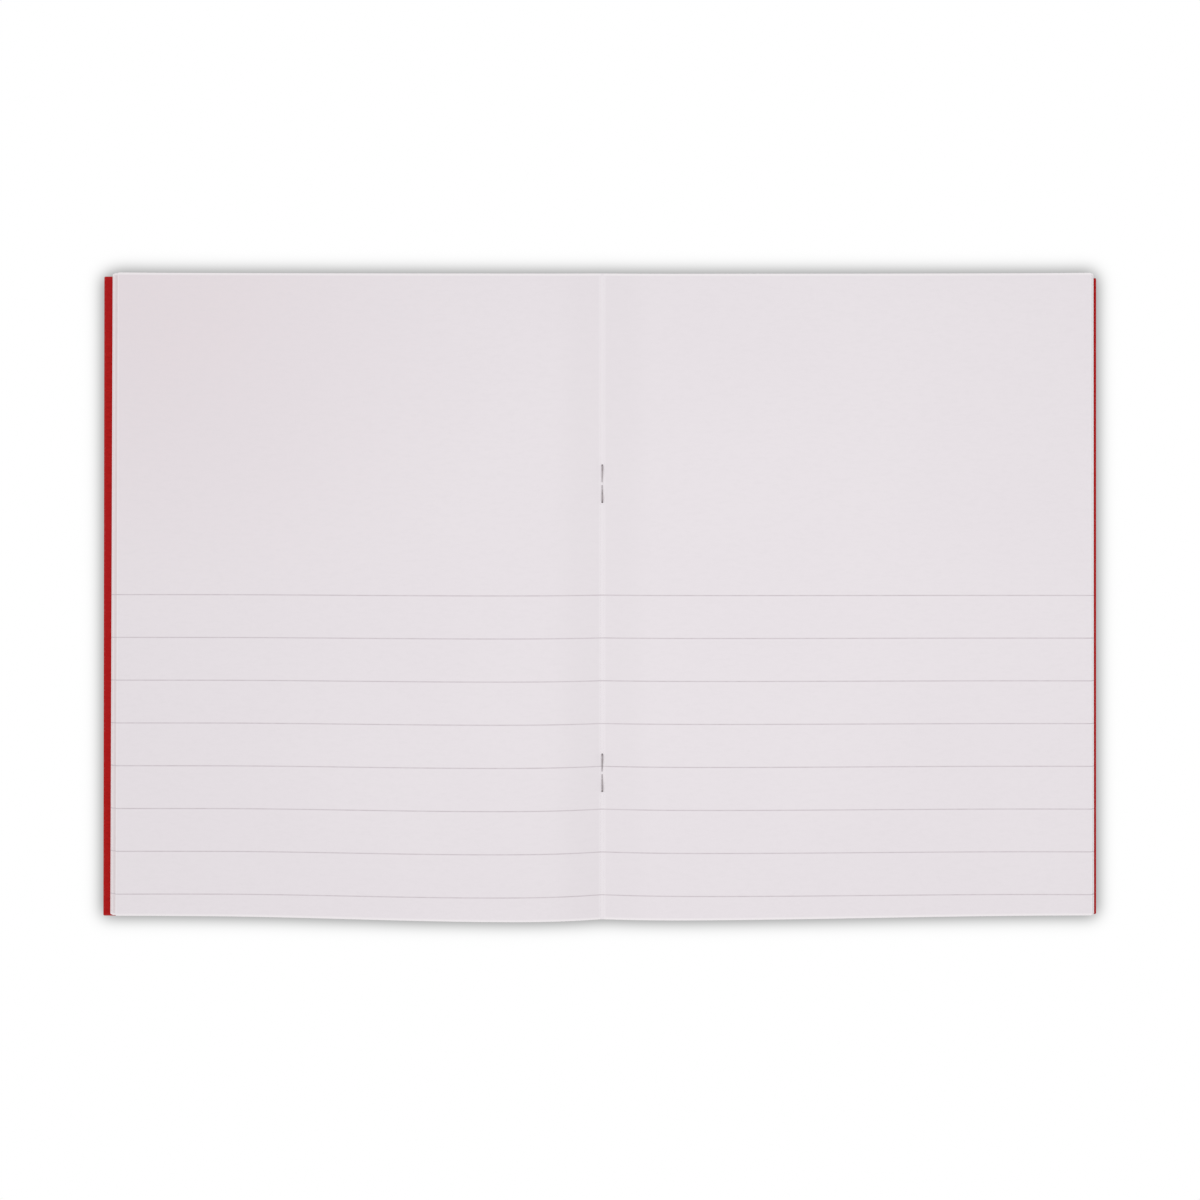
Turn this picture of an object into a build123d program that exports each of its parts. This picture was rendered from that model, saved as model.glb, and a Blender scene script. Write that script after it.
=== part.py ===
from build123d import *
import os

# A stapled exercise book that lies open at its centre spread.
# Twelve sheets and a card cover are folded together, and two wire staples hold them at the fold.
# The origin is under the middle of the open cover. +X is towards the right-hand page, +Y is
# towards the top of the pages and +Z is up. The cover lies on z = 0. Sizes are in millimetres.

# Cover and sheets
book_height = 229.0
cover_half_width = 178.0
cover_thickness = 0.30
sheet_count = 12
paper_thickness = 0.10
inner_half_width = 174.3  # of the innermost sheet, from its fold to its outer edge
creep_step = 0.17  # each sheet further out reaches this much further

# Fold: the stapled line, with a narrow crease strip left between the pages that turn
fold_x = 0.9  # the fold stands a little to the right of the middle of the cover
crease_half_width = 0.55  # of a sheet
crease_clearance = 0.05  # between a crease strip and the page beside it
cover_crease_half_width = 1.0
cover_ramp_length = 9.0  # the cover comes down to the table over this distance
fold_pitch = 0.13  # from one sheet to the next at the fold

# Arch of the pages on each side: where its crest is and where it lands again, both from the fold,
# and the pitch of the leaves at the crest and from the landing outwards
left_crest_reach = 38.0
left_landing_reach = 125.0
left_crest_pitch = 0.36
left_edge_pitch = 0.16
right_crest_reach = 36.0
right_landing_reach = 160.0
right_crest_pitch = 0.28
right_edge_pitch = 0.13

# Staples: the crown lies under the fold and the legs are folded in on the centre spread
wire_diameter = 0.50
wire_clearance = 0.03  # between the wire and the card or paper that it lies against
hole_clearance = 0.07  # around each leg
hole_sides = 8  # of the hole that a leg pierces
bend_radius = 0.40  # on the middle of the wire
staple_span = 13.1  # between the middles of the two legs
leg_gap = 1.0  # between the tips of the folded legs
staple_places = [40.0, -63.0]  # along the fold, from the middle of the book

# Heights that follow from the sizes above
spine_lift = wire_diameter + 2 * wire_clearance
spine_top = spine_lift + cover_thickness
fold_top = spine_top + sheet_count * fold_pitch

LEFT, RIGHT = -1, 1
arches = {
    LEFT: (left_crest_reach, left_landing_reach, left_crest_pitch, left_edge_pitch),
    RIGHT: (right_crest_reach, right_landing_reach, right_crest_pitch, right_edge_pitch),
}
hole_places = [
    (fold_x, place + end * staple_span / 2) for place in staple_places for end in (-1, 1)
]
hole_radius = wire_diameter / 2 + hole_clearance

os.makedirs("parts", exist_ok=True)


def card_outline(*under):
    """The closed section of a piece of the cover card, from the points of its underside."""
    over = [(x, z + cover_thickness) for x, z in reversed(under)]
    return [*under, *over]


def make_leaf(name, side, level):
    """One leaf on the left or right, counted up from the cover.

    An arc rises from the fold to the crest, two equal arcs fall from there in an S to the landing,
    and the rest is flat. The upper face is the lower one raised by the paper.
    """
    crest_reach, landing_reach, crest_pitch, edge_pitch = arches[side]
    root_reach = crease_half_width + crease_clearance
    edge_reach = inner_half_width + (sheet_count - level) * creep_step
    root_z = spine_top + level * fold_pitch
    crest_z = cover_thickness + level * crest_pitch
    edge_z = cover_thickness + level * edge_pitch
    stations = [
        (root_reach, root_z),
        (crest_reach, crest_z),
        ((crest_reach + landing_reach) / 2, (crest_z + edge_z) / 2),
        (landing_reach, edge_z),
        (edge_reach, edge_z),
    ]
    with BuildPart() as leaf:
        with BuildSketch(Plane.XZ):
            with BuildLine():
                for depth in (0, paper_thickness):
                    root, crest, middle, landing, edge = [
                        (fold_x + side * reach, z - depth) for reach, z in stations
                    ]
                    TangentArc(crest, root, tangent=(-side, 0))
                    TangentArc(crest, middle, tangent=(side, 0))
                    TangentArc(landing, middle, tangent=(-side, 0))
                    Line(landing, edge)
                for reach, z in (stations[0], stations[-1]):
                    x = fold_x + side * reach
                    Line((x, z), (x, z - paper_thickness))
            make_face()
        extrude(amount=book_height / 2, both=True)
    leaf.part.label = name
    export_step(leaf.part, f"parts/{name}.step")


# Front cover, the left half of the card: flat on the table, then up a ramp to its crease
with BuildPart() as front_cover:
    with BuildSketch(Plane.XZ):
        with BuildLine():
            crease_x = fold_x - cover_crease_half_width
            hinge_z = spine_lift * (1 - crease_clearance / cover_ramp_length)
            outline = card_outline(
                (-cover_half_width, 0),
                (crease_x - cover_ramp_length, 0),
                (crease_x - crease_clearance, hinge_z),
            )
            Polyline(*outline, close=True)
        make_face()
    extrude(amount=book_height / 2, both=True)
front_cover.part.label = "front_cover"
export_step(front_cover.part, "parts/front_cover.step")

# Back cover, the right half of the card with the crease that the staples go through
with BuildPart() as back_cover:
    with BuildSketch(Plane.XZ):
        with BuildLine():
            crease_x = fold_x + cover_crease_half_width
            outline = card_outline(
                (cover_half_width, 0),
                (crease_x + cover_ramp_length, 0),
                (crease_x, spine_lift),
                (fold_x - cover_crease_half_width, spine_lift),
            )
            Polyline(*outline, close=True)
        make_face()
    extrude(amount=book_height / 2, both=True)
    with BuildSketch():
        with Locations(*hole_places):
            RegularPolygon(hole_radius, hole_sides, major_radius=False)
    extrude(amount=fold_top, mode=Mode.SUBTRACT)
back_cover.part.label = "back_cover"
export_step(back_cover.part, "parts/back_cover.step")

# Crease strips of the twelve sheets, one on another, with the holes for the staple legs
with BuildPart() as sheet_folds:
    with BuildSketch(Plane.XZ):
        for level in range(1, sheet_count + 1):
            with Locations((fold_x, spine_top + level * fold_pitch - paper_thickness / 2)):
                Rectangle(2 * crease_half_width, paper_thickness)
    extrude(amount=book_height / 2, both=True)
    with BuildSketch():
        with Locations(*hole_places):
            RegularPolygon(hole_radius, hole_sides, major_radius=False)
    extrude(amount=fold_top, mode=Mode.SUBTRACT)
sheet_folds.part.label = "sheet_folds"
export_step(sheet_folds.part, "parts/sheet_folds.step")

# Staples, each one wire: leg, crown and leg, with both legs folded towards each other
crown_z = spine_lift - wire_clearance - wire_diameter / 2
leg_z = fold_top + wire_clearance + wire_diameter / 2
with BuildPart() as staples:
    for place in staple_places:
        near, far = place - staple_span / 2, place + staple_span / 2
        with BuildLine() as wire:
            FilletPolyline(
                (fold_x, place - leg_gap / 2, leg_z),
                (fold_x, near, leg_z),
                (fold_x, near, crown_z),
                (fold_x, far, crown_z),
                (fold_x, far, leg_z),
                (fold_x, place + leg_gap / 2, leg_z),
                radius=bend_radius,
            )
        with BuildSketch(Plane(origin=wire.line @ 0, z_dir=wire.line % 0)):
            Circle(wire_diameter / 2)
        sweep()
staples.part.label = "staples"
export_step(staples.part, "parts/staples.step")

# Leaves in reading order: 01 lies on the front cover, 12 and 13 are the centre spread, and the
# last lies on the back cover
for level in range(1, sheet_count + 1):
    make_leaf(f"leaf_{level:02d}", LEFT, level)
    make_leaf(f"leaf_{2 * sheet_count + 1 - level:02d}", RIGHT, level)
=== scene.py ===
import math

import bmesh
import bpy
import numpy as np
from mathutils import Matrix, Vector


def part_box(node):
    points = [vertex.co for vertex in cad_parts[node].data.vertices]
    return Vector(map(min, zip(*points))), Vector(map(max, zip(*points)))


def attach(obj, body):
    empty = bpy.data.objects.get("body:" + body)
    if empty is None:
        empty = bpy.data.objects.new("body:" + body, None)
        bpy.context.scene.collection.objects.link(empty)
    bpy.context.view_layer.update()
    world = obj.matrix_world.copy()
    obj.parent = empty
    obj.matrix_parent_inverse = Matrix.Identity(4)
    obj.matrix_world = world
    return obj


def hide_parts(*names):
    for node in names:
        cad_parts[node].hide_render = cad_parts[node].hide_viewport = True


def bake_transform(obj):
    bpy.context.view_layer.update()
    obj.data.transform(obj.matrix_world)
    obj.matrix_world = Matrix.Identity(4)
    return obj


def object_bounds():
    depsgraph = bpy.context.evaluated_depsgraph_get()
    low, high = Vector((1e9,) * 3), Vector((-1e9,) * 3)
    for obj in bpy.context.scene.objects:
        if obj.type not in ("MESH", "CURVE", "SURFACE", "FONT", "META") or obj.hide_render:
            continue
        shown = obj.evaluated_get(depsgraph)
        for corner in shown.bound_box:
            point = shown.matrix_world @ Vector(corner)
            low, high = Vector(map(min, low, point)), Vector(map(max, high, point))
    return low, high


# A stapled exercise book that lies open at its centre spread, seen from straight above.
# +X is towards the right-hand page, +Y is towards the top of the pages and +Z is up, in metres.

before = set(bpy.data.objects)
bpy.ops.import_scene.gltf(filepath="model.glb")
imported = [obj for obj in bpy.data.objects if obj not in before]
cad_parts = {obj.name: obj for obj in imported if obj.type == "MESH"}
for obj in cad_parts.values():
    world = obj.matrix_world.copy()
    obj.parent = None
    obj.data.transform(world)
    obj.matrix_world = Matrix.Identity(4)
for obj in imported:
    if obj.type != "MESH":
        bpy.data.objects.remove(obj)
cad_lowest, cad_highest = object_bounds()
book = bpy.data.collections.new("book")
bpy.context.scene.collection.children.link(book)

MM = 0.001
LEFT, RIGHT = -1, 1

# Sizes that the frame gives
crease_lo, crease_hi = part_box("sheet_folds")
cover_lo, cover_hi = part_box("front_cover")
back_lo, back_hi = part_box("back_cover")
staples_lo, staples_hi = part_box("staples")
fold_x = (crease_lo.x + crease_hi.x) / 2
fold_top = crease_hi.z
crease_half_width = (crease_hi.x - crease_lo.x) / 2
cover_crease_half_width = fold_x - back_lo.x
leaf_names = sorted(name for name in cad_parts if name.startswith("leaf_"))
sheet_count = len(leaf_names) // 2
widest_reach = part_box(leaf_names[-1])[1].x - fold_x

# Paper, card and wire
paper_thickness = 0.10 * MM
card_thickness = 0.30 * MM
wire_radius = 0.25 * MM
fold_pitch = (crease_hi.z - crease_lo.z - paper_thickness) / (sheet_count - 1)
spine_lift = back_hi.z - card_thickness

# Cut of the sheets: head and foot rise towards the outer edges, and the cover is a little shorter
head_y = 114.9 * MM
head_rise = 0.38 * MM
foot_y = -115.2 * MM
foot_rise = 1.25 * MM
page_corner_radius = 0.5 * MM
cover_head_y = 114.2 * MM
cover_foot_y = -114.5 * MM
cover_foot_rise = 0.25 * MM
cover_corner_radius = 0.45 * MM
edge_scatter = 0.05 * MM  # of the outer edges of the leaves, as a sine
scatter_turn = 2.4  # of that sine from leaf to leaf, in radians
lean_start = 0.9  # share of the reach from which a sheet leans and its corners lift

# The two sides: where the arch of the pages is highest and where it lands, how sharply it rises,
# the pitch of the leaves at the outer edge, the sag of the sheet at the foot where it is highest,
# the slant of the rules, how far the outer edges of the lower, middle and upper leaves step back
# from the widest leaf, how much less the pages and the cover reach at the head than at the foot,
# and how far the cover flares at head and foot towards its outer edge
sides = {
    LEFT: dict(
        crest=40 * MM, landing=140 * MM, power=2.6, edge_pitch=0.16 * MM, sag=0.525 * MM,
        rule_slant=0.0011, steps=[0.6 * MM, 1.4 * MM, 3.1 * MM],
        page_lean=0.84 * MM, cover_lean=0.36 * MM, cover_flare=0.34 * MM,
    ),
    RIGHT: dict(
        crest=36 * MM, landing=155 * MM, power=2.3, edge_pitch=0.13 * MM, sag=0.225 * MM,
        rule_slant=-0.0006, steps=[0.18 * MM, 0.70 * MM, 1.50 * MM],
        page_lean=0.18 * MM, cover_lean=0.0, cover_flare=-0.22 * MM,
    ),
}
head_arch_share = 0.25  # height of the crest at the head, as a share of its height at the foot
head_sag_share = 1 / 3  # sag at the head, as a share of the sag at the foot
corner_lift = 0.18 * MM  # of the corners of the top leaf
pattern_step = 7 * MM  # from leaf to leaf, so that each has fibres of its own

# Fold: where the bends of a leaf and of the front cover begin and end, counted from the fold
leaf_root_gap = 0.01 * MM  # between a crease strip and the leaf beside it
cover_ramp_length = 9.0 * MM  # the cover comes down from the fold over this distance
merge_distance = 0.001 * MM  # points of the crease strips that are closer are one

# Grids: how far the fine stretch beside the fold reaches, the longest step of each stretch from the
# fold outwards, and the rows from foot to head
leaf_fine_reach = 4.0 * MM
leaf_steps = [0.2 * MM, 1.4 * MM, 3.4 * MM]
leaf_rows = 29
cover_fine_reach = 3.2 * MM
cover_steps = [0.3 * MM, 0.08 * MM, 0.65 * MM, 4.3 * MM]
cover_rows = 25
corner_columns = 6  # over a rounded corner
sheet_sharp_angle = math.radians(40)  # a steeper edge between two faces is sharp

# Rules: eight lines on the lower half of each page, counted down from the first
first_rule_y = 0.3 * MM
rule_pitch = 15.25 * MM
rule_count = 8
rule_half_width = 0.19 * MM
rule_softness = 0.06 * MM

# Staples: their places along the fold, and the sizes of half a staple
staple_places = [40.0 * MM, -63.0 * MM]
staple_half_span = 6.55 * MM
staple_half_gap = 0.5 * MM  # from the middle to the tip of the folded leg
staple_bend = 0.40 * MM  # radius, on the middle of the wire
leg_sway = -0.08 * MM  # of the tips, across the fold
tip_start = 0.60  # share of its points, from the crown outwards, after which the leg thins
tip_thinning = 0.50  # share of the radius that the tip loses
crown_points = 12
bend_points = 9
leg_points = 24
wire_sides = 14
wire_sharp_angle = math.radians(50)

# Fibres of paper and card, which give the wire its patches too: broad clouds, and a fine grain that
# is drawn out along X
cloud_scale = 14.0
cloud_detail = 3.0
grain_detail = 4.0
grain_roughness = 0.62
grain_stretch = (0.35, 1.0, 1.0)

# Paper: the plain tone, a pink cast towards the upper left corner, the tones of the clouds and the
# grain, the painted shade towards the fold, the painted highlights along the fold and along the cut
# edges, the painted shade, tinted pink, on the margins that stick out on the left beyond the top leaf,
# and the grey of the rules
paper_white = (0.825, 0.777, 0.808, 1)
paper_pink = (0.805, 0.735, 0.765, 1)
paper_cloud = (0.800, 0.748, 0.785, 1)
paper_grain = (0.755, 0.712, 0.740, 1)
paper_gutter_shade = (0.805, 0.758, 0.788, 1)
paper_fold_highlight = (0.855, 0.808, 0.838, 1)
paper_edge_highlight = (0.890, 0.850, 0.866, 1)
paper_margin_shade = (0.730, 0.645, 0.655, 1)
rule_grey = (0.577, 0.517, 0.552, 1)
paper_grain_scale = 900.0
paper_grain_depth = 0.03 * MM
paper_bump_strength = 0.25
paper_roughness = 0.82
paper_specular = 0.25

# How far each of those tones is mixed in: where that begins and ends, and the share at either end.
# The cast follows the place on the sheet, clouds and grain follow their own pattern, the painted
# shade and the painted highlight of the fold follow the distance to the fold, the painted shade of the
# margin the distance past the top leaf and the painted highlight of the cuts the distance to the edge.
# The rules are fainter where the grain is strong.
pink_across_ease = (-20 * MM, -170 * MM, 0.0, 1.0)
pink_up_ease = (-30 * MM, 100 * MM, 0.0, 1.0)
paper_cloud_ease = (0.3, 0.7, 0.0, 0.35)
paper_grain_ease = (0.40, 0.75, 0.0, 0.22)
gutter_shade_ease = (19.0 * MM, 8.0 * MM, 0.0, 1.0)
fold_highlight_ease = (1.5 * MM, 0.7 * MM, 0.0, 0.7)
margin_shade_ease = (0.0, 0.3 * MM, 0.0, 0.7)
edge_highlight_ease = (1.0 * MM, 0.5 * MM, 0.0, 0.8)
outer_edge_highlight_ease = (0.55 * MM, 0.25 * MM, 0.0, 0.5)
ink_ease = (0.7, 0.3, 0.6, 0.9)

# Card: two tones by the grain, the tone of the clouds, and that of the rub along edges and fold,
# which shows where the grain is strong
card_light = (0.44, 0.0105, 0.0095, 1)
card_dark = (0.35, 0.0070, 0.0065, 1)
card_cloud = (0.40, 0.0085, 0.0120, 1)
card_rub = (0.58, 0.10, 0.09, 1)
card_grain_scale = 1500.0
card_grain_depth = 0.05 * MM
card_bump_strength = 0.25
card_specular = 0.04
card_grain_ease = (0.35, 0.7, 0.0, 1.0)
card_cloud_ease = (0.35, 0.65, 0.0, 0.5)
edge_rub_ease = (0.9 * MM, 0.2 * MM, 0.0, 1.0)
fold_rub_ease = (2.2 * MM, 0.3 * MM, 0.0, 1.0)
rub_grain_ease = (0.45, 0.65, 0.0, 0.35)
card_roughness_ease = (0.3, 0.7, 0.48, 0.62)

# Wire: two tones and two degrees of roughness by the grain
wire_dark = (0.20, 0.175, 0.185, 1)
wire_light = (0.36, 0.325, 0.335, 1)
wire_grain_scale = 1500.0
wire_tone_ease = (0.3, 0.7, 0.0, 1.0)
wire_roughness_ease = (0.3, 0.7, 0.28, 0.45)

# Floor: a fine grid round the book, white to the camera, and the shade on it, which is the outline of
# the book as a lamp above it would cast it, blurred in many passes
plain_white = (1, 1, 1, 1)  # of floor and sky, as the camera sees them
floor_grey = (0.9, 0.9, 0.9, 1)  # of the light that the floor throws back onto the book
floor_drop = 0.05 * MM
floor_reach = 3.0
floor_margin = 20.0 * MM
floor_step = 0.8 * MM
shade_lamp_height = 330.0 * MM
blur_passes = 28
shade_depth = 0.54
shade_power = 2.2

# Light: the strength of the sky on the book, and the lamps' places, sizes and powers in watts
sky_strength = 0.675
lamps = {
    "left_softbox": dict(place=(-3.0, 0.8, 2.6), size=2.0, power=33.0),
    "overhead_softbox": dict(place=(0.10, 0.0, 0.5), size=0.3, power=0.52),
}

# Camera: its place above the book, and how much of the floor the square picture shows
camera_place = (0.09 * MM, -1.44 * MM, 330.0 * MM)
shown_width = 430.7 * MM
sensor_width = 36.0
nearest_shown = 10 * MM


def smooth(share):
    """The smoothstep 3t² - 2t³ of a share that is first held between 0 and 1."""
    held = np.clip(share, 0, 1)
    return held * held * (3 - 2 * held)


def grid_quads(index):
    """Quads of a grid of vertex numbers, turned so that they face up where x, then y increase."""
    corners = index[:-1, :-1], index[1:, :-1], index[1:, 1:], index[:-1, 1:]
    return np.stack(corners, axis=-1).reshape(-1, 4)


def spaced(start, ends, steps):
    """Places from a start through stretches with these ends, each in equal steps of at most its own.

    A stretch that ends before the start is left out.
    """
    places = [np.array([start])]
    for end, step in zip(ends, steps):
        if end > start:
            count = math.ceil((end - start) / step)
            places.append(np.linspace(start, end, count + 1)[1:])
            start = end
    return np.concatenate(places)


def round_off(edge_reach, radius):
    """Columns over a rounded corner, from its start to the outer edge at edge_reach."""
    turn = np.linspace(0, math.pi / 2, corner_columns + 1)[1:]
    return edge_reach - radius * (1 - np.sin(turn))


def corner_cut(to_edge, radius):
    """How far a rounded corner draws head and foot in, at this distance from the outer edge.

    It is radius - sqrt(radius² - (radius - distance)²), and 0 further in.
    """
    beyond = np.clip(radius - to_edge, 0, radius)
    return radius - np.sqrt(radius**2 - beyond**2)


def make_piece(name, points, faces, attributes, sharp_angle):
    """A mesh object from points (n, 3), lists of corners, and point attributes (n, 3) by name."""
    mesh = bpy.data.meshes.new(name)
    mesh.from_pydata(points, [], faces)
    for attribute_name, values in attributes.items():
        layer = mesh.attributes.new(attribute_name, "FLOAT_VECTOR", "POINT")
        layer.data.foreach_set("vector", values.astype(np.float32).ravel())
    mesh.shade_smooth()
    mesh.set_sharp_from_angle(angle=sharp_angle)
    mesh.update()
    piece = bpy.data.objects.new(name, mesh)
    book.objects.link(piece)
    return piece


def thin_shell(name, upper, thickness, attributes):
    """A closed shell: a grid of points (columns, rows, 3), the same grid lowered, and its rim.

    The attributes (columns, rows, 3) are kept on both grids, for the material: place, where each
    point lies on the flat sheet, and rim, its distances to the outer edge, the foot and the head.
    """
    lower = upper - np.array([0, 0, thickness])
    columns, rows = upper.shape[:2]
    count = columns * rows
    index = np.arange(count).reshape(columns, rows)
    rim = np.concatenate([index[:-1, 0], index[-1, :-1], index[:0:-1, -1], index[0, :0:-1]])
    after = np.roll(rim, -1)
    walls = np.stack([rim + count, after + count, after, rim], axis=-1)
    faces = np.concatenate([grid_quads(index), grid_quads(index)[:, ::-1] + count, walls])
    points = np.concatenate([upper.reshape(-1, 3), lower.reshape(-1, 3)])
    doubled = {key: np.concatenate([value.reshape(-1, 3)] * 2) for key, value in attributes.items()}
    return make_piece(name, points, faces.tolist(), doubled, sheet_sharp_angle)


def edge_reach_of(side, level):
    """How far a leaf reaches from the fold: the leaves step back in groups, and scatter by a sine."""
    steps = sides[side]["steps"]
    step = steps[(level - 1) * len(steps) // sheet_count]
    return widest_reach - step + edge_scatter * math.sin(scatter_turn * level + side)


def leaf_upper(side, level, crest_z):
    """The upper face of a leaf (columns, rows, 3) and its attributes.

    With t the share of the way from the fold to the crest, the height is
    root + (crest - root) * (1 - (1 - t)^power); beyond, it falls by a smoothstep to the landing.
    The crest is lower at the head, and the sheet sags towards the foot by a share of its rise. Near
    the outer edge the sheet leans by a smoothstep, and the corners of the upper leaves lift with it.
    """
    form = sides[side]
    crest = form["crest"]
    edge_reach = edge_reach_of(side, level)
    root_reach = crease_half_width + leaf_root_gap
    straight_reach = edge_reach - page_corner_radius
    reach_steps = np.concatenate([
        spaced(root_reach, [leaf_fine_reach, crest, straight_reach], leaf_steps),
        round_off(edge_reach, page_corner_radius),
    ])
    columns = reach_steps[::side][:, None]
    rows = np.linspace(0, 1, leaf_rows)[None, :]
    outwards = smooth((columns / edge_reach - lean_start) / (1 - lean_start))
    x = fold_x + side * (columns + outwards * form["page_lean"] * (0.5 - rows))
    cut = corner_cut(edge_reach - columns, page_corner_radius)
    foot = foot_y + foot_rise * columns / edge_reach + cut
    head = head_y + head_rise * (columns / edge_reach) ** 2 - cut
    flat_y = foot + (head - foot) * rows

    root_z = fold_top - (sheet_count - level) * fold_pitch
    edge_z = card_thickness + level * form["edge_pitch"]
    top_z = edge_z + (crest_z - edge_z) * (1 - (1 - head_arch_share) * smooth(rows))
    way = np.clip((columns - root_reach) / (crest - root_reach), 0, 1)
    rise = 1 - (1 - way) ** form["power"]
    fall = smooth((columns - crest) / (form["landing"] - crest))
    before, beyond = root_z + (top_z - root_z) * rise, top_z + (edge_z - top_z) * fall
    lift = corner_lift * (level / sheet_count) ** 2 * outwards * (2 * rows - 1) ** 2
    z = np.where(columns < crest, before, beyond) + lift
    sag = form["sag"] * (1 - (1 - head_sag_share) * rows)
    upper = np.stack(np.broadcast_arrays(x, flat_y - sag * rise * (1 - fall), z), axis=-1)
    flat_x, rule_y = fold_x + side * columns, flat_y - form["rule_slant"] * columns
    place = np.stack(np.broadcast_arrays(flat_x, rule_y, level * pattern_step), axis=-1)
    rim = np.stack(np.broadcast_arrays(edge_reach - columns, flat_y - foot, head - flat_y), axis=-1)
    return upper, {"place": place, "rim": rim}


def make_leaf(name, side, level, paper):
    """A leaf of paper that rises from the fold, in place of the frame's part."""
    upper, attributes = leaf_upper(side, level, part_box(name)[1].z)
    piece = thin_shell(f"page_{name}", upper, paper_thickness, attributes)
    piece.data.materials.append(paper)
    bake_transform(piece)
    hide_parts(name)


def make_sheet_folds(paper):
    """The crease strips as the frame gives them, drawn out to the foot and the head of the sheets.

    Only the points at the lowest and the highest y move, so the holes stay round the staples.
    """
    strips = bmesh.new()
    strips.from_mesh(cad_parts["sheet_folds"].data)
    bmesh.ops.remove_doubles(strips, verts=strips.verts, dist=merge_distance)
    mesh = bpy.data.meshes.new("paper_sheet_folds")
    strips.to_mesh(mesh)
    strips.free()
    points = np.empty((len(mesh.vertices), 3), dtype=np.float32)
    mesh.vertices.foreach_get("co", points.ravel())
    for end_y, sheet_y in ((crease_lo.y, foot_y), (crease_hi.y, head_y)):
        at_end = np.isclose(points[:, 1], end_y, rtol=0, atol=merge_distance)
        points[at_end, 1] = sheet_y
    mesh.vertices.foreach_set("co", points.ravel())
    mesh.materials.append(paper)
    mesh.update()
    piece = bpy.data.objects.new("paper_sheet_folds", mesh)
    book.objects.link(piece)
    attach(piece, "spine")
    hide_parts("sheet_folds")


def cover_upper(side, edge_x, inner_x):
    """The upper face of half of the cover (columns, rows, 3) and its attributes.

    The card lies flat and comes up to the fold by a smoothstep over the ramp. Its outer edge leans by
    a smoothstep, and head and foot flare evenly from the fold to that edge.
    """
    edge_reach, inner_reach = side * (edge_x - fold_x), side * (inner_x - fold_x)
    ramp_end = cover_crease_half_width + cover_ramp_length
    ends = [cover_crease_half_width, cover_fine_reach, ramp_end, edge_reach - cover_corner_radius]
    reach_steps = np.concatenate([
        spaced(inner_reach, ends, cover_steps), round_off(edge_reach, cover_corner_radius),
    ])
    columns = reach_steps[::side][:, None]
    rows = np.linspace(0, 1, cover_rows)[None, :]
    outwards = smooth((columns / edge_reach - lean_start) / (1 - lean_start))
    x = fold_x + side * (columns - outwards * sides[side]["cover_lean"] * rows)
    cut = corner_cut(edge_reach - columns, cover_corner_radius)
    share = np.clip(columns / edge_reach, 0, 1)
    flare = sides[side]["cover_flare"] * share
    foot = cover_foot_y + cover_foot_rise * share - flare + cut
    head = cover_head_y + flare - cut
    y = foot + (head - foot) * rows
    ramp = smooth((columns - cover_crease_half_width) / cover_ramp_length)
    z = card_thickness + spine_lift * (1 - ramp)
    upper = np.stack(np.broadcast_arrays(x, y, z), axis=-1)
    place = np.stack(np.broadcast_arrays(fold_x + side * columns, y, 0.0), axis=-1)
    rim = np.stack(np.broadcast_arrays(edge_reach - columns, y - foot, head - y), axis=-1)
    return upper, {"place": place, "rim": rim}


def make_covers(card):
    """The two halves of the cover: the back half rides on the spine."""
    upper, attributes = cover_upper(LEFT, cover_lo.x, cover_hi.x)
    front = thin_shell("card_front_cover", upper, card_thickness, attributes)
    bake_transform(front)
    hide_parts("front_cover")
    upper, attributes = cover_upper(RIGHT, back_hi.x, back_lo.x)
    back = thin_shell("card_back_cover", upper, card_thickness, attributes)
    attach(back, "spine")
    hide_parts("back_cover")
    for piece in (front, back):
        piece.data.materials.append(card)


def staple_half():
    """Points (n, 2) of half a staple in y and z, from the middle of the crown to the tip of a leg.

    Straight along the crown, a quarter turn up, straight up through the fold, a quarter turn in
    and straight along the leg.
    """
    crown_z = staples_lo.z + wire_radius
    leg_z = staples_hi.z - wire_radius
    straight = staple_half_span - staple_bend
    turn = np.linspace(0, math.pi / 2, bend_points)
    sine, cosine = staple_bend * np.sin(turn), staple_bend * np.cos(turn)
    crown = np.linspace(0, straight, crown_points), np.full(crown_points, crown_z)
    first = straight + sine, crown_z + staple_bend - cosine
    second = straight + cosine, leg_z - staple_bend + sine
    leg = np.linspace(straight, staple_half_gap, leg_points), np.full(leg_points, leg_z)
    crown, first, second, leg = [np.stack(part, axis=-1) for part in (crown, first, second, leg)]
    return np.concatenate([crown, first[1:], second, leg[1:]])


def make_staples(wire):
    """Both staples as tubes: a circle carried along the path, thinner along the last of each leg.

    The legs lean a little to one side of the fold, by a smoothstep towards their tips, and come down
    as they thin, so that their undersides stay level.
    """
    half = staple_half()
    path = np.concatenate([half[:0:-1] * [-1, 1], half])
    tip = smooth((np.linspace(0, 1, len(half)) - tip_start) / (1 - tip_start))
    tip = np.concatenate([tip[:0:-1], tip])
    radius = wire_radius * (1 - tip_thinning * tip)
    path[:, 1] -= wire_radius - radius
    heading = np.gradient(path, axis=0)
    heading /= np.linalg.norm(heading, axis=1)[:, None]
    sway = leg_sway * tip
    angle = np.linspace(0, 2 * math.pi, wire_sides, endpoint=False)
    out = radius[:, None] * np.sin(angle)
    x = fold_x + sway[:, None] + radius[:, None] * np.cos(angle)
    y = path[:, :1] - heading[:, 1:] * out
    z = path[:, 1:] + heading[:, :1] * out
    place = np.array(staple_places)[:, None, None]
    points = np.stack(np.broadcast_arrays(x, y + place, z), axis=-1)
    index = np.arange(points[..., 0].size).reshape(points.shape[:3])
    faces = []
    for rings in index:
        faces += grid_quads(np.concatenate([rings, rings[:, :1]], axis=1)).tolist()
        faces += [rings[0].tolist(), rings[-1, ::-1].tolist()]
    piece = make_piece("wire_staples", points.reshape(-1, 3), faces, {}, wire_sharp_angle)
    piece.data.materials.append(wire)
    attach(piece, "spine")
    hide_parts("staples")


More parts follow.
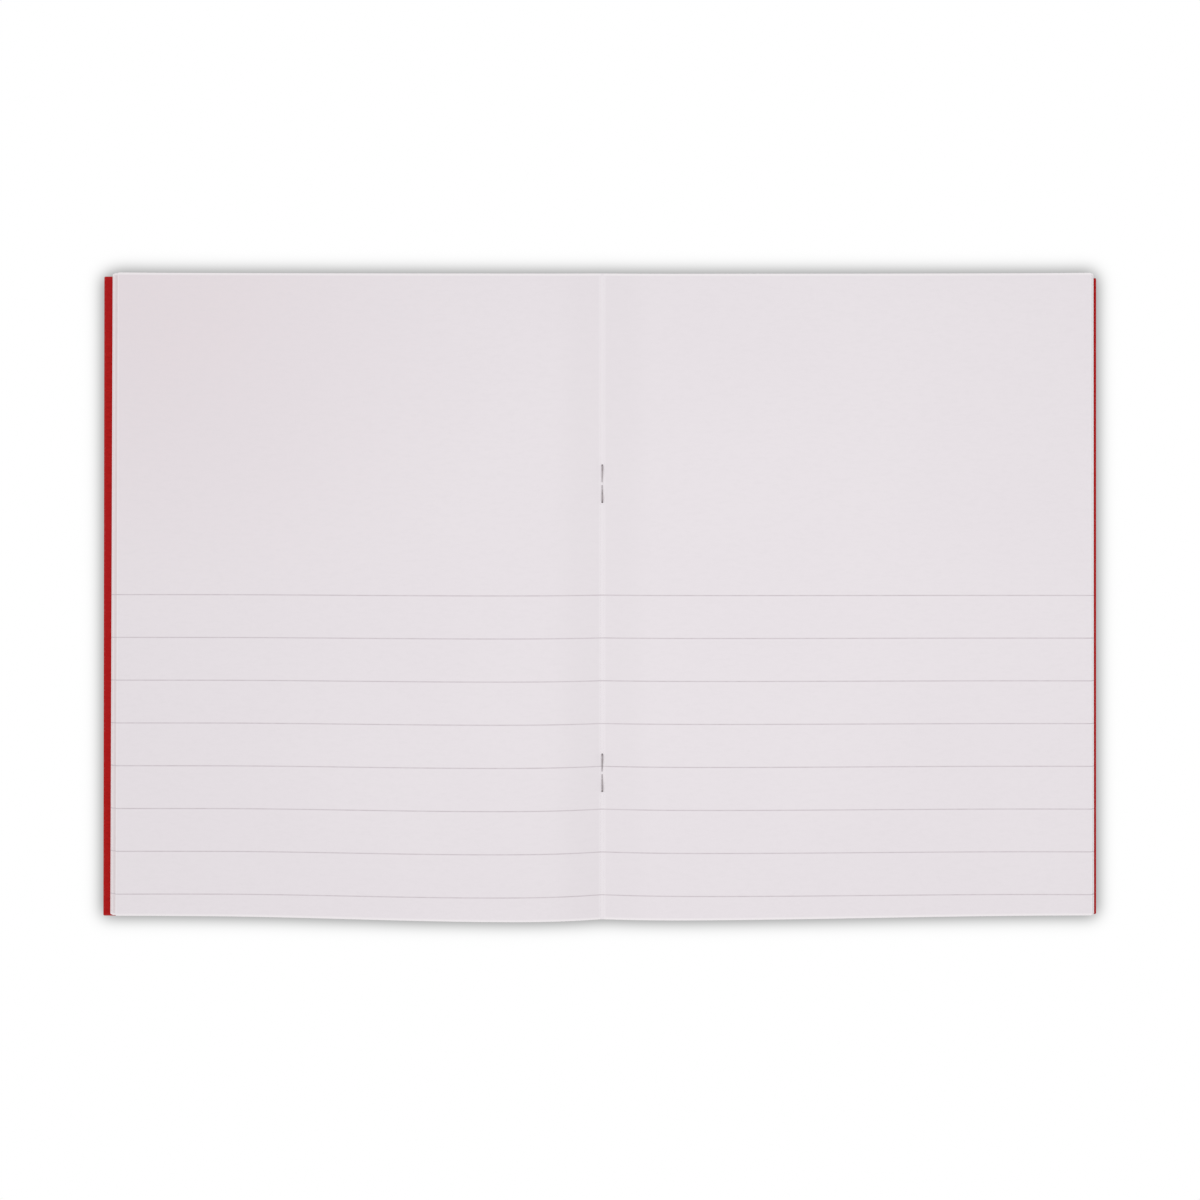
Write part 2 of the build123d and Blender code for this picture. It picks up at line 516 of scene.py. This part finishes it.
def fill(tree, socket, value):
    """Links a socket to another socket, or sets its value."""
    if isinstance(value, bpy.types.NodeSocket):
        tree.links.new(value, socket)
    else:
        socket.default_value = value


def add(tree, kind, inputs, **settings):
    """A node with its settings and its inputs, which are values or sockets."""
    made = tree.nodes.new(kind)
    for key, value in settings.items():
        setattr(made, key, value)
    for key, value in inputs.items():
        fill(tree, made.inputs[key], value)
    return made


def calculate(tree, operation, first, second=0.0):
    """The output of a Math node."""
    return add(tree, "ShaderNodeMath", {0: first, 1: second}, operation=operation).outputs[0]


def ease(tree, value, start, end, low, high):
    """The output of a Map Range node that goes smoothly from low to high between start and end."""
    inputs = {"Value": value, "From Min": start, "From Max": end, "To Min": low, "To Max": high}
    return add(tree, "ShaderNodeMapRange", inputs, interpolation_type="SMOOTHSTEP").outputs[0]


def mix_colours(tree, share, first, second):
    """The colour that goes from the first to the second with the share."""
    return add(tree, "ShaderNodeMix", {0: share, 6: first, 7: second}, data_type="RGBA").outputs[2]


def new_group(name, inputs, outputs, kind="ShaderNodeTree"):
    """An empty node group with its sockets, as (name, kind) pairs: the tree and its two ends."""
    group = bpy.data.node_groups.new(name, kind)
    for direction, sockets in (("INPUT", inputs), ("OUTPUT", outputs)):
        for socket_name, socket_kind in sockets:
            socket_type = f"NodeSocket{socket_kind}"
            group.interface.new_socket(socket_name, in_out=direction, socket_type=socket_type)
    return group, group.nodes.new("NodeGroupInput"), group.nodes.new("NodeGroupOutput")


def make_ruled_lines():
    """Group: a mask of the printed rules from the height on the page.

    The height is counted in rules down from the first, rounded to the nearest of the rules, and
    the distance to that rule is eased into a line.
    """
    group, start, end = new_group("ruled_lines", [("Page Height", "Float")], [("Line", "Float")])
    below = calculate(group, "SUBTRACT", first_rule_y, start.outputs["Page Height"])
    count = calculate(group, "DIVIDE", below, rule_pitch)
    nearest = calculate(group, "MAXIMUM", calculate(group, "ROUND", count), 0.0)
    nearest = calculate(group, "MINIMUM", nearest, rule_count - 1.0)
    off = calculate(group, "ABSOLUTE", calculate(group, "SUBTRACT", count, nearest))
    distance = calculate(group, "MULTIPLY", off, rule_pitch)
    inner, outer = rule_half_width - rule_softness, rule_half_width + rule_softness
    fill(group, end.inputs["Line"], ease(group, distance, inner, outer, 1.0, 0.0))
    return group


def make_fibres():
    """Group: the look of pressed fibres, as a broad cloudy tone and a fine grain along X."""
    inputs = [("Place", "Vector"), ("Grain Scale", "Float")]
    outputs = [("Cloud", "Float"), ("Grain", "Float")]
    group, start, end = new_group("pressed_fibres", inputs, outputs)
    place = start.outputs["Place"]
    cloud = add(group, "ShaderNodeTexNoise", {
        "Vector": place, "Scale": cloud_scale, "Detail": cloud_detail,
    })
    along = add(group, "ShaderNodeMapping", {"Vector": place, "Scale": grain_stretch})
    grain = add(group, "ShaderNodeTexNoise", {
        "Vector": along.outputs[0], "Scale": start.outputs["Grain Scale"],
        "Detail": grain_detail, "Roughness": grain_roughness,
    })
    fill(group, end.inputs["Cloud"], cloud.outputs[0])
    fill(group, end.inputs["Grain"], grain.outputs[0])
    return group


def new_material(name):
    """A material with a Principled shader: its tree and the shader."""
    material = bpy.data.materials.new(name)
    material.use_nodes = True
    return material, material.node_tree, material.node_tree.nodes["Principled BSDF"]


def add_group(tree, group, inputs):
    """A node group placed in a tree: its outputs."""
    made = tree.nodes.new("ShaderNodeGroup")
    made.node_tree = group
    for key, value in inputs.items():
        fill(tree, made.inputs[key], value)
    return made.outputs


def place_of(tree, from_mesh):
    """The place on the flat sheet, from the piece's own attribute or from Object coordinates."""
    if from_mesh:
        return add(tree, "ShaderNodeAttribute", {}, attribute_name="place").outputs["Vector"]
    return tree.nodes.new("ShaderNodeTexCoord").outputs["Object"]


def axes_of(tree, vector):
    """The X, Y and Z of a vector."""
    return add(tree, "ShaderNodeSeparateXYZ", {"Vector": vector}).outputs


def distances_to_rim(tree):
    """The distances to the outer edge, the foot and the head of a sheet, from its attribute."""
    return axes_of(tree, add(tree, "ShaderNodeAttribute", {}, attribute_name="rim").outputs["Vector"])


def distance_to_fold(tree, x):
    """The distance to the fold along X."""
    return calculate(tree, "ABSOLUTE", calculate(tree, "SUBTRACT", x, fold_x))


def add_bump(tree, shader, height, strength, depth):
    """A fine relief on the shader's normal."""
    bump = add(tree, "ShaderNodeBump", {"Height": height, "Strength": strength, "Distance": depth})
    fill(tree, shader.inputs["Normal"], bump.outputs["Normal"])


def make_paper(name, ruled_lines, fibres, from_mesh):
    """White writing paper with grey rules on its lower half and a faint pink cast at one corner."""
    material, tree, shader = new_material(name)
    place = place_of(tree, from_mesh)
    x, y = axes_of(tree, place)[:2]
    cloud, grain = add_group(tree, fibres, {"Place": place, "Grain Scale": paper_grain_scale})
    across, up = ease(tree, x, *pink_across_ease), ease(tree, y, *pink_up_ease)
    cast = calculate(tree, "MULTIPLY", across, up)
    colour = mix_colours(tree, cast, paper_white, paper_pink)
    to_fold = distance_to_fold(tree, x)
    # Painted shade: the paper is darker within about 19 mm of the fold, where the pages fall into it.
    colour = mix_colours(tree, ease(tree, to_fold, *gutter_shade_ease), colour, paper_gutter_shade)
    colour = mix_colours(tree, ease(tree, cloud, *paper_cloud_ease), colour, paper_cloud)
    colour = mix_colours(tree, ease(tree, grain, *paper_grain_ease), colour, paper_grain)
    # Painted highlight: the paper is lighter along the fold, within about 1.5 mm of it.
    colour = mix_colours(tree, ease(tree, to_fold, *fold_highlight_ease), colour, paper_fold_highlight)
    if from_mesh:
        # Painted shade: the margins of the lower leaves that stick out on the left beyond the top leaf
        # are darker and pinker, as in the shade of the leaves above with light from the red card.
        beyond = calculate(tree, "SUBTRACT", to_fold, edge_reach_of(LEFT, sheet_count))
        on_left = calculate(tree, "LESS_THAN", x, fold_x)
        margin_shade = calculate(tree, "MULTIPLY", ease(tree, beyond, *margin_shade_ease), on_left)
        colour = mix_colours(tree, margin_shade, colour, paper_margin_shade)
        to_outer, to_foot, to_head = distances_to_rim(tree)
        # Painted highlight: the paper is lighter within about 1 mm of the foot and the head and 0.55
        # mm of the outer edge, and so are the cut walls of the leaves.
        cut = ease(tree, calculate(tree, "MINIMUM", to_foot, to_head), *edge_highlight_ease)
        outer_edge_highlight = ease(tree, to_outer, *outer_edge_highlight_ease)
        colour = mix_colours(tree, calculate(tree, "MAXIMUM", cut, outer_edge_highlight), colour, paper_edge_highlight)
    line, = add_group(tree, ruled_lines, {"Page Height": y})
    ink = calculate(tree, "MULTIPLY", line, ease(tree, grain, *ink_ease))
    colour = mix_colours(tree, ink, colour, rule_grey)
    fill(tree, shader.inputs["Base Color"], colour)
    shader.inputs["Roughness"].default_value = paper_roughness
    shader.inputs["Specular IOR Level"].default_value = paper_specular
    add_bump(tree, shader, grain, paper_bump_strength, paper_grain_depth)
    return material


def make_card(fibres):
    """Red cover card: mottled fibres, and a paler rub along its edges and its fold."""
    material, tree, shader = new_material("red_card")
    place = place_of(tree, True)
    cloud, grain = add_group(tree, fibres, {"Place": place, "Grain Scale": card_grain_scale})
    colour = mix_colours(tree, ease(tree, grain, *card_grain_ease), card_light, card_dark)
    colour = mix_colours(tree, ease(tree, cloud, *card_cloud_ease), colour, card_cloud)
    to_outer, to_foot, to_head = distances_to_rim(tree)
    to_edge = calculate(tree, "MINIMUM", to_outer, calculate(tree, "MINIMUM", to_foot, to_head))
    to_fold = distance_to_fold(tree, axes_of(tree, place)["X"])
    edge_rub, fold_rub = ease(tree, to_edge, *edge_rub_ease), ease(tree, to_fold, *fold_rub_ease)
    rub = calculate(tree, "MAXIMUM", edge_rub, fold_rub)
    rub = calculate(tree, "MULTIPLY", rub, ease(tree, grain, *rub_grain_ease))
    fill(tree, shader.inputs["Base Color"], mix_colours(tree, rub, colour, card_rub))
    fill(tree, shader.inputs["Roughness"], ease(tree, grain, *card_roughness_ease))
    shader.inputs["Specular IOR Level"].default_value = card_specular
    add_bump(tree, shader, grain, card_bump_strength, card_grain_depth)
    return material


def make_wire(fibres):
    """Dull steel wire whose tone and roughness change in patches along it."""
    material, tree, shader = new_material("dull_steel_wire")
    place = place_of(tree, False)
    grain = add_group(tree, fibres, {"Place": place, "Grain Scale": wire_grain_scale})["Grain"]
    tone = mix_colours(tree, ease(tree, grain, *wire_tone_ease), wire_dark, wire_light)
    fill(tree, shader.inputs["Base Color"], tone)
    fill(tree, shader.inputs["Roughness"], ease(tree, grain, *wire_roughness_ease))
    shader.inputs["Metallic"].default_value = 1.0
    return material


def seen_directly(tree):
    """1 for camera, glossy and transmission rays, which see plain white, and 0 for the others."""
    path = tree.nodes.new("ShaderNodeLightPath").outputs
    mirrored = calculate(tree, "MAXIMUM", path["Is Glossy Ray"], path["Is Transmission Ray"])
    return calculate(tree, "MAXIMUM", path["Is Camera Ray"], mirrored)


def make_blurred_outline():
    """Geometry nodes: each point of the floor keeps a share of the book's blurred outline.

    The book is flattened onto the floor, and spread by its height over the lamp's. A point of the
    floor counts 1 under it and 0 from one step of the grid beyond it, and in each pass a point
    takes the mean of its own count and its neighbours'.
    """
    sockets = [("Floor", "Geometry")]
    group, start, end = new_group("blurred_outline", sockets, sockets, "GeometryNodeTree")
    pieces = add(group, "GeometryNodeCollectionInfo", {"Collection": book}, transform_space="RELATIVE")
    faces = add(group, "GeometryNodeRealizeInstances", {0: pieces.outputs[0]})
    place = group.nodes.new("GeometryNodeInputPosition").outputs[0]
    height_share = calculate(group, "DIVIDE", axes_of(group, place)["Z"], shade_lamp_height)
    spread = calculate(group, "ADD", 1.0, height_share)
    scale = add(group, "ShaderNodeCombineXYZ", {"X": spread, "Y": spread, "Z": 0.0})
    cast = add(group, "ShaderNodeVectorMath", {0: place, 1: scale.outputs[0]}, operation="MULTIPLY")
    flat = add(group, "GeometryNodeSetPosition", {
        "Geometry": faces.outputs[0], "Position": cast.outputs[0],
    })
    nearest = add(group, "GeometryNodeProximity", {0: flat.outputs[0]}, target_element="FACES")
    steps_away = calculate(group, "DIVIDE", nearest.outputs["Distance"], floor_step)
    count = calculate(group, "MAXIMUM", calculate(group, "SUBTRACT", 1.0, steps_away), 0.0)
    blurred = add(group, "GeometryNodeBlurAttribute", {"Value": count, "Iterations": blur_passes})
    kept = add(group, "GeometryNodeStoreNamedAttribute", {
        "Geometry": start.outputs[0], "Name": "outline", "Value": blurred.outputs[0],
    }, data_type="FLOAT", domain="POINT")
    fill(group, end.inputs[0], kept.outputs[0])
    return group


def make_white_floor():
    """White with a soft shade close round the book, which follows the book as it moves.

    With c the share of the blurred outline, the light is (1 - depth * c)^power.
    """
    material = bpy.data.materials.new("white_floor")
    material.use_nodes = True
    tree = material.node_tree
    tree.nodes.clear()
    outline = add(tree, "ShaderNodeAttribute", {}, attribute_name="outline").outputs["Fac"]
    shade = calculate(tree, "MULTIPLY", outline, shade_depth)
    light = calculate(tree, "POWER", calculate(tree, "SUBTRACT", 1.0, shade), shade_power)
    seen = add(tree, "ShaderNodeEmission", {"Color": plain_white, "Strength": light})
    unseen = add(tree, "ShaderNodeBsdfDiffuse", {"Color": floor_grey})
    shaders = {0: seen_directly(tree), 1: unseen.outputs[0], 2: seen.outputs[0]}
    mixed = add(tree, "ShaderNodeMixShader", shaders)
    add(tree, "ShaderNodeOutputMaterial", {"Surface": mixed.outputs[0]})
    return material


def make_floor():
    """A flat grid that is fine round the book and has one wide step beyond."""
    lowest, highest = np.array(cad_lowest) - floor_margin, np.array(cad_highest) + floor_margin
    x, y = [
        np.concatenate([[-floor_reach], np.arange(low, high, floor_step), [floor_reach]])
        for low, high in zip(lowest[:2], highest[:2])
    ]
    points = np.stack(np.broadcast_arrays(x[:, None], y[None, :], -floor_drop), axis=-1)
    faces = grid_quads(np.arange(x.size * y.size).reshape(x.size, y.size))
    mesh = bpy.data.meshes.new("floor")
    mesh.from_pydata(points.reshape(-1, 3), [], faces.tolist())
    mesh.materials.append(make_white_floor())
    floor = bpy.data.objects.new("floor", mesh)
    floor.modifiers.new("blurred_outline", "NODES").node_group = make_blurred_outline()
    bpy.context.scene.collection.objects.link(floor)


def make_light():
    """An even white sky, plain white to the camera, and the soft lamps."""
    world = bpy.data.worlds.new("studio")
    world.use_nodes = True
    bpy.context.scene.world = world
    tree = world.node_tree
    sky = tree.nodes["Background"]
    fill(tree, sky.inputs["Color"], plain_white)
    fill(tree, sky.inputs["Strength"], ease(tree, seen_directly(tree), 0.0, 1.0, sky_strength, 1.0))
    for name, form in lamps.items():
        lamp = bpy.data.lights.new(name, "AREA")
        lamp.shape = "DISK"
        lamp.size = form["size"]
        lamp.energy = form["power"]
        softbox = bpy.data.objects.new(name, lamp)
        softbox.location = form["place"]
        softbox.rotation_euler = (-softbox.location).to_track_quat("-Z", "Y").to_euler()
        softbox.visible_camera = False
        bpy.context.scene.collection.objects.link(softbox)


def make_camera():
    """A camera that looks straight down on the book."""
    data = bpy.data.cameras.new("overhead")
    data.sensor_width = sensor_width
    data.lens = sensor_width * camera_place[2] / shown_width
    data.clip_start = nearest_shown
    camera = bpy.data.objects.new("overhead", data)
    camera.location = camera_place
    bpy.context.scene.collection.objects.link(camera)
    bpy.context.scene.camera = camera


bpy.context.scene.view_settings.view_transform = "Standard"
ruled_lines = make_ruled_lines()
fibres = make_fibres()
page_paper = make_paper("page_paper", ruled_lines, fibres, True)
crease_paper = make_paper("crease_paper", ruled_lines, fibres, False)

for number, name in enumerate(leaf_names, start=1):
    if number <= sheet_count:
        make_leaf(name, LEFT, number, page_paper)
    else:
        make_leaf(name, RIGHT, 2 * sheet_count + 1 - number, page_paper)
make_sheet_folds(crease_paper)
make_covers(make_card(fibres))
make_staples(make_wire(fibres))
make_floor()
make_light()
make_camera()
